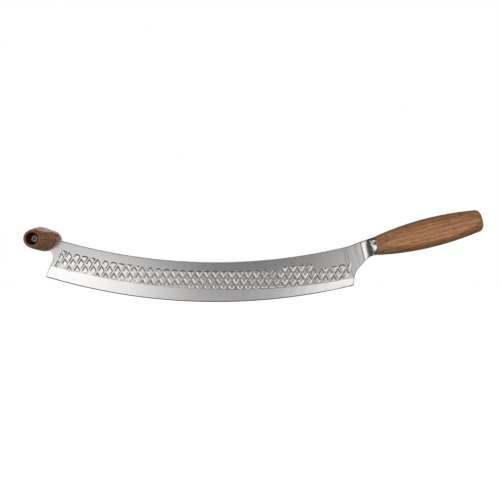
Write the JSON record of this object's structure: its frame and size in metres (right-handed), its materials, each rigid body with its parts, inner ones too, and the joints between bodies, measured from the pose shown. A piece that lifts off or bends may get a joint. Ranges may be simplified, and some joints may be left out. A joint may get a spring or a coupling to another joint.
{
  "type": "pizza and cheese knife",
  "caption": "Rocking knife with a long curved steel blade, a band of sunk diamonds, a wooden barrel handle and a wooden cross grip that turns at the tip.",
  "frame": {"origin": "below the middle of the knife in plan, at the lowest point of the cutting edge", "axes": "+X along the blade from the cross grip to the handle, +Y through the blade away from the viewer, +Z from the edge to the spine"},
  "size_m": [0.487, 0.096, 0.0993],
  "materials": {
    "blade_steel": "satin, brushed across the blade",
    "bolster_steel": "polished",
    "fastener_steel": "zinc plated",
    "brass": "turned",
    "wood": "oiled, fine straight grain"
  },
  "bodies": {
    "knife": {"blade": "blade_steel", "bolster_near": "bolster_steel", "bolster_far": "bolster_steel", "handle": "wood"},
    "front_grip": {"grip_near": "wood", "grip_far": "wood", "grip_screw": "fastener_steel", "grip_nut": "fastener_steel", "washer_near": "fastener_steel", "washer_far": "fastener_steel", "eye_bush": "brass"}
  },
  "joints": [
    {"name": "front_grip_turn", "type": "hinge", "parent": "knife", "child": "front_grip", "pos_m": [-0.23034, 0, 0.06797], "axis": [0, 1, 0], "continuous": true}
  ]
}
